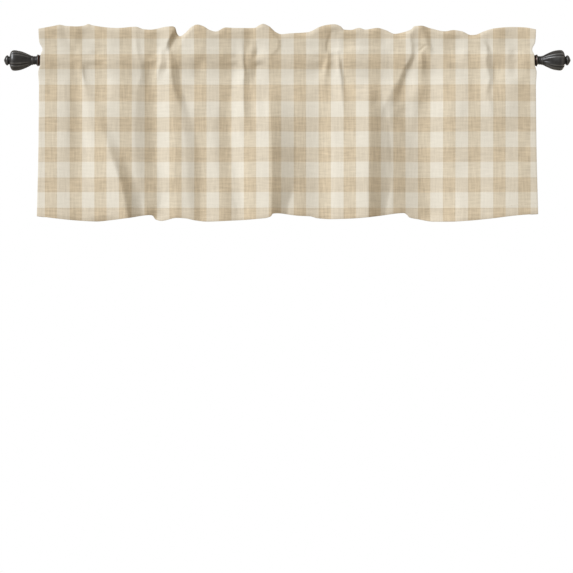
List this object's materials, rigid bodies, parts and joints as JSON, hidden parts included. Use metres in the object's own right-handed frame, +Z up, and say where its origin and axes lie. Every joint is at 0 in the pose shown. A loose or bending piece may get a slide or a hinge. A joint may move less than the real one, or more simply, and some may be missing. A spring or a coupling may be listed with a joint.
{
  "type": "window valance on curtain rod",
  "caption": "Straight rod-pocket window valance of beige checked cloth with a gathered standing frill, on a dark curtain rod with fluted finials.",
  "frame": {"origin": "on the rod's axis, halfway along the rod", "axes": "+X along the rod, to the right as seen from the room; +Y into the wall, away from the room; +Z up"},
  "size_m": [1.3856, 0.0596, 0.4829],
  "materials": {
    "checked_cloth": "matte linen-look weave in a beige and cream check",
    "rod_metal": "dark bronze, satin",
    "finial_bronze": "dark oil-rubbed bronze, satin"
  },
  "bodies": {
    "root": {"valance_cloth": "checked_cloth", "curtain_rod": "rod_metal", "left_rod_collar": "rod_metal", "right_rod_collar": "rod_metal", "left_finial": "finial_bronze", "right_finial": "finial_bronze"}
  },
  "joints": []
}
